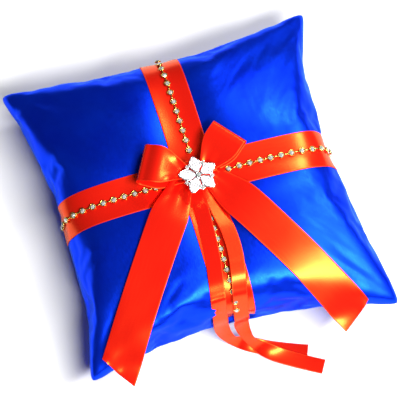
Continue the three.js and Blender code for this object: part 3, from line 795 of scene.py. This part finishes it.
class PILLOW_OT_chains(bpy.types.Operator):
    """Lay a run of stones in gold cups along each arm of the bands"""

    bl_idname = "pillow.chains"
    bl_label = "Stone chains"

    def execute(self, context):
        sizes = context.scene.pillow_sizes
        radius = sizes.cup / 2
        runs = {"upper": ((0, 1), 0), "lower": ((0, -1), 0),
                "left": ((-1, 0), CROSS_SHIFT), "right": ((1, 0), CROSS_SHIFT)}
        for seed, (name, line) in enumerate(runs.items()):
            seats, links = chain_places(*line)
            stones = [(place + np.array(up) * CUP_HEIGHT * 0.35, up, on) for place, up, on in seats]
            scatter(f"chain_{name}_cups", cup_shape(radius, CUP_HEIGHT), seats, "gold_cups",
                    [f"chain_{name}"], smooth=True)
            scatter(f"chain_{name}_links", link_shape(sizes.pitch - radius * 1.6, 0.45 * MM), links,
                    "gold_cups", smooth=True)
            scatter(f"chain_{name}_stones", stone_shape(radius * 0.74, 1.2 * MM), stones, "cut_stones",
                    spin=0.3, seed=seed)
        return {"FINISHED"}


# ---------------------------------------------------------------- bow

# Each loop: the way it points in degrees, how far out its fold is, the height and place of its crest,
# the height of its fold, the lean of its top and the depth of the bowl that the gathers press into it.
LOOPS = {
    "left": dict(angle=151.1, reach=38 * MM, crest=12.5 * MM, crest_at=0.72, tip_height=5.5 * MM,
                 twist=0.05, bowl=1.9),
    "right": dict(angle=40.0, reach=37 * MM, crest=6.5 * MM, crest_at=0.85, tip_height=4.5 * MM,
                  twist=0.0, bowl=1.2),
}
LOOP_START = 3.5 * MM   # distance from the knot's middle where both layers of a loop start
LOOP_NECK = 2.2 * MM    # height of its upper layer there
# Each tail: where it leaves the knot, the way it points in degrees, how far it reaches, how much
# longer one edge is than the other at its cut end, and the height of its ripples.
TAILS = {
    "left": dict(root_x=-11.2 * MM, angle=235.0, reach=125 * MM, slant=-9 * MM, wave=0.35 * MM),
    "right": dict(root_x=9.2 * MM, angle=-58.4, reach=126 * MM, slant=3 * MM, wave=-0.4 * MM),
}
TAIL_START = -9 * MM    # a tail starts this far back under the knot
TAIL_STEPS = 64
TAIL_FALL = 0.62        # steepest fall of a tail over the cushion's edge, which doubles near its end
TAIL_REST = 1.0 * MM    # height of a tail over the cushion where it lies on it
PLEAT_PACE = 5 * math.pi
KNOT_PLEATS = 9
KNOT_RELIEF = 0.07      # depth of the knot's pleats, as a share of its radius


def pointing(angle):
    """The way that an angle points, and the way to its right."""
    turn = math.radians(angle)
    out = np.array([math.cos(turn), math.sin(turn)])
    return out, np.array([out[1], -out[0]])


def tail_rows(width, lift, root_x, angle, reach, slant, wave):
    """Rows of a bow tail that lies from the knot over the cushion and hangs past its edge."""
    out, aside = pointing(angle)
    shares = across_shares(width)
    step = (reach - TAIL_START) / TAIL_STEPS
    rows = []
    height = None
    for i in range(TAIL_STEPS + 1):
        distance = TAIL_START + (reach - TAIL_START) * i / TAIL_STEPS
        gather = float(smoothstep(distance, -8 * MM, 26 * MM))
        ends = slant * shares * float(smoothstep(distance, reach - 12 * MM, reach))
        spread = 0.52 + 0.48 * gather
        places = [np.array((root_x, 0)) + out * (distance + end) + aside * share * width * spread
                  for share, end in zip(shares, ends)]
        levels = [front_height(x, y) for x, y in places]
        resting = np.array(levels) * 0.45 + max(levels) * 0.55 + lift(distance)
        if height is not None:
            fall = TAIL_FALL * step * (1 + smoothstep(distance, reach - 22 * MM, reach))
            resting = np.maximum(resting, height - fall)
        height = resting
        fold = (1 - gather) * 1.1 * MM * np.cos(shares * PLEAT_PACE)
        ripple = wave * math.sin(distance / (15 * MM)) * np.cos(shares * math.pi) * gather
        rows.append([(x, y, z + f + r) for (x, y), z, f, r in zip(places, resting, fold, ripple)])
    rows = np.array(rows)
    rows[..., 2] = smoothed(rows[..., 2], 4)
    return rows


def loop_rows(width, base, angle, reach, crest, crest_at, tip_height, twist, bowl):
    """Rows of a bow loop: out over its crest, round the fold at its tip and back underneath."""
    out, aside = (np.append(way, 0) for way in pointing(angle))
    shares = across_shares(width)
    upper, bend, lower = 30, 10, 22
    radius = tip_height / 2
    length = reach - radius - LOOP_START
    profile = []
    for i in range(upper):
        t = i / upper
        # The gathers press a bowl into the middle of the loop, and its edges stand up round it.
        power = 2.4 - bowl * (2 * shares) ** 2
        rise = (1 - (1 - np.clip(t / crest_at, 0, 1)) ** 2) ** power
        fall = smoothstep(t, crest_at, 1.15)
        level = base + LOOP_NECK + (crest - LOOP_NECK) * rise - (crest - tip_height) * fall
        profile.append((LOOP_START + length * t, level))
    last = profile[-1][1]
    for i in range(bend + 1):
        phi = math.pi / 2 - math.pi * i / bend
        level = base + (last - base) / 2 * (1 + math.sin(phi))
        profile.append((reach - radius + radius * math.cos(phi), level))
    for i in range(1, lower + 1):
        t = i / lower
        level = base + LOOP_NECK * 0.5 * smoothstep(t, 0.6, 1.0) * np.ones_like(shares)
        profile.append((reach - radius - length * t, level))
    rows = []
    for k, (d, z) in enumerate(profile):
        z = z + max(front_height(*(out * d)[:2]) + 2.2 * MM - base, 0)
        open_share = float(smoothstep(d, 3 * MM, 27 * MM))
        pleat = (1 - open_share) * MM * np.cos(shares * PLEAT_PACE)
        lean = twist * shares * width * open_share if k < upper + bend // 2 else 0
        rows.append([out * d + aside * share * width * (0.3 + 0.7 * open_share) + np.array([0, 0, level])
                     for share, level in zip(shares, z + pleat + lean)])
    return smoothed(rows, 2)


class PILLOW_OT_bow(bpy.types.Operator):
    """Tie the bow: two loops, two tails, the knot and its gathering thread"""

    bl_idname = "pillow.bow"
    bl_label = "Bow"

    def execute(self, context):
        sizes = context.scene.pillow_sizes
        base = float(box_of("bow_loop_left")[0][2])
        for side, bent in LOOPS.items():
            ribbon(f"bow_loop_{side}_ribbon", loop_rows(sizes.ribbon, base, **bent), sizes.ribbon, "pillow",
                   [f"bow_loop_{side}"], "folded", ["bow_knot_ribbon"])
        centre_lift = float(box_of("bow_tails_centre")[1][2]) - CROWN - sizes.wall

        def tail_lift(distance):
            return float(centre_lift + (TAIL_REST - centre_lift) * smoothstep(distance, 20 * MM, 60 * MM))

        for side, laid in TAILS.items():
            tail = ribbon(f"bow_tail_{side}_ribbon", tail_rows(sizes.ribbon, tail_lift, **laid), sizes.ribbon,
                          None, [f"bow_tail_{side}", "bow_tails_centre"], "draped",
                          ["cushion_cover", "band_crosswise_ribbon"])
            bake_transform(tail)
        self.knot()
        return {"FINISHED"}

    def knot(self):
        """The gathered middle: a small ball of pleats, with the thread wound round it."""
        middle = (KNOT_LOW + KNOT_HIGH) / 2
        half = (KNOT_HIGH - KNOT_LOW) / 2
        verts, faces = lathe([(0, -1)] + [(math.cos(a), math.sin(a)) for a in np.linspace(-1.4, 1.4, 15)]
                             + [(0, 1)], 40)
        shaped = []
        for x, y, z in verts:
            pleat = 1 + KNOT_RELIEF * math.cos(KNOT_PLEATS * math.atan2(y, x)) * math.hypot(x, y)
            shaped.append(middle + half * np.array([x * pleat, y * pleat, z]))
        knot = mesh_object("bow_knot_ribbon", shaped, faces, finish_of("red_satin"))
        knot.data.uv_layers.new(name="weave")
        modify(knot, "SUBSURF", levels=1, render_levels=1)
        attach(knot, "pillow", "red_satin", "bow_knot")
        repaint("red_thread", "gather_thread", "tack_thread")


# ---------------------------------------------------------------- ring tie

STRAND_FINE = 6     # rows from one station of a strand to the next


def strand_rows(stations, width):
    """Rows of a narrow ribbon through stations, each a place and the way its width points there."""
    places = np.array([s[0] for s in stations], float)
    ways = np.array([s[1] for s in stations], float)
    fine = np.linspace(0, len(stations) - 1, (len(stations) - 1) * STRAND_FINE + 1)

    def smooth(values):
        out = []
        for f in fine:
            i = min(int(f), len(values) - 2)
            t = f - i
            p = [values[max(i - 1, 0)], values[i], values[i + 1], values[min(i + 2, len(values) - 1)]]
            out.append(0.5 * (2 * p[1] + (p[2] - p[0]) * t + (2 * p[0] - 5 * p[1] + 4 * p[2] - p[3]) * t * t
                              + (3 * p[1] - p[0] - 3 * p[2] + p[3]) * t ** 3))
        return np.array(out)

    centre, way = smooth(places), smooth(ways)
    tangent = np.gradient(centre, axis=0)
    tangent /= np.linalg.norm(tangent, axis=1, keepdims=True)
    way -= tangent * np.sum(way * tangent, axis=1, keepdims=True)
    way /= np.linalg.norm(way, axis=1, keepdims=True)
    shares = across_shares(width)
    return centre[:, None, :] + way[:, None, :] * (shares * width)[None, :, None]


EDGE_Y = -(HALF - 16.5 * MM)    # the front edge's middle
OVER_BAND = 2.0 * MM            # height of a strand over the cushion where it lies on the band
OVER_CROSSING = 2.3 * MM        # where it lies on both bands
OVER_CHAIN = 3.9 * MM           # and where it crosses the chain
NEAR_STATIONS = (4, -2, -8, -14, -20, -26)
FAR_STATIONS = (36, 42, 49, 56, 63, 70, 76, 81)
# Free route of each strand past the front edge: across, outward from the edge and up from the table,
# in millimetres, with the way that its width points.
ROUTES = {
    "left": [(-10, -2.4, 23, 1, 0, 0), (-8.5, -4.6, 13, 0.9, -0.1, 0.45), (-4.5, -8, 6.4, 0.45, 0.1, 0.9),
             (4, -12, 3.8, 0.2, 0.75, 0.6), (16, -17.5, 1.3, 0.38, 0.92, 0.12),
             (29, -22.8, 0.6, 0.36, 0.93, 0.0), (41, -27.5, 0.6, 0.36, 0.93, 0.0)],
    "right": [(3.0, -3.9, 24, 1, 0, 0), (3.6, -6.4, 15.5, 0.9, -0.3, 0.3), (6.5, -12, 9.0, 0.5, 0.0, 0.87),
              (14, -19.5, 5.4, 0.3, 0.7, 0.62), (25, -27, 2.8, 0.42, 0.9, 0.1), (37, -34, 1.5, 0.46, 0.88, 0.0),
              (48, -40.3, 1.4, 0.48, 0.87, 0.0)],
}
# Centre line of each strand over the cushion: distances from the bow, and places across, in millimetres.
STRAND_LINES = {
    "left": ((-4, 25, 41, 56, 69, 81, 86), (-3.6, -4.0, -4.9, -6.2, -8.2, -9.9, -10.2)),
    "right": ((-4, 16, 26, 36, 46, 56, 66, 76, 86), (5.4, 5.6, 6.7, 8.6, 9.5, 8.9, 7.4, 5.4, 3.4)),
}
STRAND_TILT = {"left": 0.17, "right": -0.17}    # rise of each strand's inner edge, which lies on the chain


class PILLOW_OT_ring_tie(bpy.types.Operator):
    """Lay the two strands of the narrow ribbon that ties the rings on"""

    bl_idname = "pillow.ring_tie"
    bl_label = "Ring tie"

    def rest_station(self, side, y, lift):
        x = float(np.interp(-y / MM, *STRAND_LINES[side])) * MM
        level = max(front_height(x + a * MM, y) for a in (-4, 0, 4))
        return (x, y, level + lift), (1, 0, STRAND_TILT[side])

    def route(self, side, join_y, width):
        """Rows of a strand from under the bow, over the cushion and its front edge, to its cut end."""
        onto_chain = OVER_CHAIN if side == "right" else OVER_BAND
        inner = [self.rest_station(side, y * MM, OVER_CROSSING if y > -9 else OVER_BAND) for y in NEAR_STATIONS]
        join = self.rest_station(side, join_y, OVER_BAND)
        outer = [self.rest_station(side, -y * MM, float(np.interp(y, (54, 66), (OVER_BAND, onto_chain))))
                 for y in FAR_STATIONS]
        across = STRAND_LINES[side][1][-1] * MM
        past = onto_chain - OVER_BAND
        turn = [((across, EDGE_Y - 0.6 * MM - past, SEAM + 9 * MM), (1, 0, 0)),
                ((across, EDGE_Y - 1.9 * MM - past, SEAM + 3 * MM), (1, 0, 0))]
        free = [((x * MM, EDGE_Y + y * MM, z * MM), way) for x, y, z, *way in ROUTES[side]]
        return strand_rows(inner + [join] + outer + turn + free, width)

    def execute(self, context):
        width = context.scene.pillow_sizes.tie
        place = HINGES["ring_tie_lift"]["pos_m"]
        bands = ["band_lengthwise_ribbon", "band_crosswise_ribbon"]
        left, right = (self.route(side, place[1], width) for side in ("left", "right"))
        # The right strand is two pieces that meet at the hinge.
        cut = len(NEAR_STATIONS) * STRAND_FINE
        for name, rows, nodes, rests_on, first, second, before, after in (
                ("left", left, ["ring_tie_left", "ring_tie_centre"], bands, "pillow", "ring_tie_left", 4, 8),
                ("middle", right[:cut + 1], ["ring_tie_centre"], bands, "pillow", "ring_tie_left", 9, 0),
                ("right", right[cut:], ["ring_tie_right"], ["band_lengthwise_ribbon", "ring_tie_left_ribbon"],
                 "ring_tie_left", "ring_tie_right", 0, 9)):
            strand = ribbon(f"ring_tie_{name}_ribbon", rows, width, None, nodes, "laid", rests_on)
            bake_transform(strand)
        return {"FINISHED"}


# ---------------------------------------------------------------- brooch

PETALS = 5
PETAL_TURN = 20             # degrees from the right to the first petal
PETAL_START = 1.6 * MM
PETAL_TIP = 13.3 * MM
PETAL_WIDTH = 8.4 * MM
PETAL_SLOT = 0.9 * MM       # gap between neighbouring petals
PETAL_STEPS = 16
# Sections of a petal's tray from its underside to inside its rim: share of its outline, and height.
TRAY_LEVELS = ((0.9, 0.0), (1.0, 0.5 * MM), (1.0, 1.3 * MM), (0.9, 1.45 * MM), (0.84, 1.1 * MM))
STONE_SPACING = 1.5 * MM
RING_RADIUS = 8.9 * MM      # the backing's ring, and the disc in its middle
DISC_RADIUS = 3.1 * MM


def petal_half_width(share):
    """Half the petal's width at a share of its length: rounded by the middle, pointed at the tip."""
    reach = PETAL_START + (PETAL_TIP - PETAL_START) * share
    beside_slot = math.tan(math.pi / PETALS) * reach - PETAL_SLOT / 2
    return min(PETAL_WIDTH / 2 * max(math.sin(math.pi * share ** 0.8), 0) ** 0.75, beside_slot)


def petal_setting(angle, base):
    """A petal's stamped tray with a raised rim, pointing along an angle."""
    outline = [(PETAL_START + (PETAL_TIP - PETAL_START) * i / PETAL_STEPS, petal_half_width(i / PETAL_STEPS))
               for i in range(PETAL_STEPS + 1)]
    ring = outline + [(d, -w) for d, w in outline[-2:0:-1]]
    middle = (PETAL_START + PETAL_TIP) / 2
    verts = [(middle + (d - middle) * scale, w * scale, z) for scale, z in TRAY_LEVELS for d, w in ring]
    count = len(ring)
    top = (len(TRAY_LEVELS) - 1) * count
    faces = [(a + i, a + count + i, a + count + (i + 1) % count, a + (i + 1) % count)
             for a in range(0, top, count) for i in range(count)]
    faces.append(tuple(range(count)))
    faces.append(tuple(top + i for i in reversed(range(count))))
    turn = Matrix.Translation((0, 0, base)) @ Matrix.Rotation(math.radians(angle), 4, "Z")
    return moved((verts, faces), turn)


def petal_stones(angle, base):
    """Seats of the small stones that fill a petal, in rows across it."""
    turn = Matrix.Rotation(math.radians(angle), 3, "Z")
    seats = []
    distance = PETAL_START + 1.7 * MM
    while distance < PETAL_TIP - 0.9 * MM:
        share = (distance - PETAL_START) / (PETAL_TIP - PETAL_START)
        room = petal_half_width(share) * 0.84 - 0.55 * MM
        count = max(int(2 * room / STONE_SPACING + 1.02), 1)
        for k in range(count):
            w = (k - (count - 1) / 2) * STONE_SPACING
            dome = 0.5 * MM * (1 - (w / (PETAL_WIDTH / 2)) ** 2)
            place = turn @ Vector((distance, w, 0))
            tilt = turn @ Vector((0.1 * (share - 0.5), 0.9 * w / PETAL_WIDTH, 1))
            seats.append((Vector((place.x, place.y, base + 0.75 * MM + dome)), tilt, (1, 0, 0)))
        distance += STONE_SPACING * 0.9
    return seats


def upright(place, rise=0.0):
    """One seat that points straight up, a rise above a place."""
    return [(place + np.array([0, 0, rise]), (0, 0, 1), (1, 0, 0))]


class PILLOW_OT_brooch(bpy.types.Operator):
    """Set the flower brooch: five petals of small stones, five round stones and a centre stone"""

    bl_idname = "pillow.brooch"
    bl_label = "Brooch"

    def execute(self, context):
        base = float(PLATE_HIGH[2]) + 0.1 * MM
        for i in range(PETALS):
            angle = PETAL_TURN + 360 / PETALS * i
            tray = mesh_object(f"brooch_petal_{i + 1}_tray", *petal_setting(angle, base))
            attach(tray, "pillow", "silver_setting", f"brooch_petal_{i + 1}")
            modify(tray, "BEVEL", width=0.12 * MM, segments=2, limit_method="ANGLE")
            scatter(f"brooch_petal_{i + 1}_stones", stone_shape(0.82 * MM, 0.75 * MM, 6),
                    petal_stones(angle, base), "cut_stones", spin=0.5, seed=20 + i, finish="clear_stones")
            low, high = box_of(f"brooch_stone_{i + 1}")
            seat = ((low + high) / 2 * (1, 1, 0)) + np.array([0, 0, base])
            scatter(f"brooch_collet_{i + 1}", cup_shape(1.5 * MM, 1.6 * MM), upright(seat), "silver_setting",
                    smooth=True)
            scatter(f"brooch_round_stone_{i + 1}", stone_shape(1.25 * MM, 1.2 * MM), upright(seat, 0.7 * MM),
                    "cut_stones", [f"brooch_stone_{i + 1}"])
        middle = np.array([0, 0, base])
        scatter("brooch_centre_collet", cup_shape(1.8 * MM, 2.2 * MM), upright(middle), "silver_setting",
                smooth=True)
        scatter("brooch_centre_gem", stone_shape(1.5 * MM, 1.5 * MM), upright(middle, 0.9 * MM), "cut_stones",
                ["brooch_centre_stone"])
        self.backing()
        repaint("silver_setting", "brooch_shank")
        return {"FINISHED"}

    def backing(self):
        """The open back: a small disc in the middle and a ring that carries the petals and cups."""
        low, high = float(PLATE_LOW[2]), float(PLATE_HIGH[2])
        disc = lathe([(0, low), (DISC_RADIUS, low), (DISC_RADIUS, high), (0, high)], 32)
        steps, sides, thick = 48, 8, (high - low) / 2
        verts, faces = [], []
        for i in range(steps):
            turn = 2 * math.pi * i / steps
            for k in range(sides):
                phi = 2 * math.pi * k / sides
                reach = RING_RADIUS + thick * math.cos(phi)
                height = low + thick + thick * math.sin(phi)
                verts.append((reach * math.cos(turn), reach * math.sin(turn), height))
                faces.append(tuple(((i + a) % steps) * sides + (k + b) % sides
                                   for a, b in ((0, 0), (1, 0), (1, 1), (0, 1))))
        plate = mesh_object("brooch_backing", *joined([disc, (verts, faces)]), finish_of("silver_setting"))
        attach(plate, "pillow", "silver_setting", "brooch_plate")


# ---------------------------------------------------------------- stage

# Each light: azimuth and elevation in degrees (azimuth 0 is the front, 90 the right), distance, width
# and height in metres, and power in watts.
LIGHTS = {
    "key_light": (94, 50, 1.0, 0.2, 0.2, 3),
    "side_light": (130, 48, 1.0, 0.2, 0.2, 3.3),
    "front_light": (27, 55.5, 1.1, 0.9, 0.16, 22),
}
ROOM_LIGHT = 0.05
TABLE_REACH = 3.0
VIEW_AZIMUTH = -16.2
VIEW_ELEVATION = 70.5
VIEW_DISTANCE = 3.0
VIEW_WIDTH = 259.74026 * MM     # width of the view, at the pillow
VIEW_ASIDE = 1.103896 * MM      # from the cushion's middle to the view's, across and down
VIEW_DOWN = 2.045455 * MM
LENS_WIDTH = 36


def towards(azimuth, elevation):
    """The way from the pillow to a place at an azimuth and an elevation in degrees."""
    a, e = math.radians(azimuth), math.radians(elevation)
    return Vector((math.sin(a) * math.cos(e), -math.cos(a) * math.cos(e), math.sin(e)))


class PILLOW_OT_stage(bpy.types.Operator):
    """Set the pale table, the soft lights and the camera"""

    bl_idname = "pillow.stage"
    bl_label = "Stage"

    def execute(self, context):
        corners = [(x * TABLE_REACH, y * TABLE_REACH, 0) for x, y in ((-1, -1), (1, -1), (1, 1), (-1, 1))]
        mesh_object("table_top", corners, [(0, 1, 2, 3)], finish_of("table"))
        for name, light in LIGHTS.items():
            self.light(context, name, *light)
        world = bpy.data.worlds.new("pale_room")
        world.use_nodes = True
        background = world.node_tree.nodes["Background"]
        background.inputs["Color"].default_value = WHITE
        background.inputs["Strength"].default_value = ROOM_LIGHT
        context.scene.world = world
        context.scene.view_settings.view_transform = "Standard"
        self.camera(context)
        return {"FINISHED"}

    def light(self, context, name, azimuth, elevation, distance, width, height, power):
        """A soft light aimed at the pillow."""
        place = towards(azimuth, elevation) * distance
        lamp = bpy.data.lights.new(name, "AREA")
        lamp.energy = power
        lamp.shape = "SQUARE" if width == height else "RECTANGLE"
        lamp.size, lamp.size_y = width, height
        made = bpy.data.objects.new(name, lamp)
        made.location = place
        made.rotation_euler = (-place).to_track_quat("-Z", "Y").to_euler()
        context.scene.collection.objects.link(made)

    def camera(self, context):
        """A long lens above the front left, as far off as makes the cushion's sides run nearly parallel."""
        back = towards(VIEW_AZIMUTH, VIEW_ELEVATION)
        turn = math.radians(VIEW_AZIMUTH)
        right = Vector((math.cos(turn), math.sin(turn), 0))
        up = back.cross(right)
        aim = Vector((0, 0, SEAM)) + right * VIEW_ASIDE - up * VIEW_DOWN
        lens = bpy.data.cameras.new("camera")
        lens.sensor_width = LENS_WIDTH
        lens.lens = VIEW_DISTANCE / VIEW_WIDTH * LENS_WIDTH
        lens.clip_end = 20
        made = bpy.data.objects.new("camera", lens)
        made.location = aim + back * VIEW_DISTANCE
        made.rotation_euler = Matrix((right, up, back)).transposed().to_euler()
        context.scene.collection.objects.link(made)
        context.scene.camera = made


class PILLOW_PT_panel(bpy.types.Panel):
    """Buttons for the pillow's pieces, with their sizes and colours"""

    bl_idname = "PILLOW_PT_panel"
    bl_label = "Ring Bearer Pillow"
    bl_space_type = "VIEW_3D"
    bl_region_type = "UI"
    bl_category = "Pillow"

    def draw(self, context):
        for step in STEPS:
            self.layout.operator(step)
        for group in (context.scene.pillow_sizes, context.scene.pillow_colours):
            box = self.layout.box()
            for name in group.__annotations__:
                box.prop(group, name)


STEPS = ("pillow.stage", "pillow.cushion", "pillow.bands", "pillow.chains", "pillow.ring_tie", "pillow.bow",
         "pillow.brooch")
CLASSES = (PILLOW_PG_sizes, PILLOW_PG_colours, PILLOW_OT_stage, PILLOW_OT_cushion, PILLOW_OT_bands,
           PILLOW_OT_chains, PILLOW_OT_ring_tie, PILLOW_OT_bow, PILLOW_OT_brooch, PILLOW_PT_panel)


def register():
    for item in CLASSES:
        bpy.utils.register_class(item)
    bpy.types.Scene.pillow_sizes = PointerProperty(type=PILLOW_PG_sizes)
    bpy.types.Scene.pillow_colours = PointerProperty(type=PILLOW_PG_colours)


def unregister():
    del bpy.types.Scene.pillow_colours
    del bpy.types.Scene.pillow_sizes
    for item in reversed(CLASSES):
        bpy.utils.unregister_class(item)


def main():
    register()
    for step in STEPS:
        group, name = step.split(".")
        getattr(getattr(bpy.ops, group), name)()


if __name__ == "__main__":
    main()
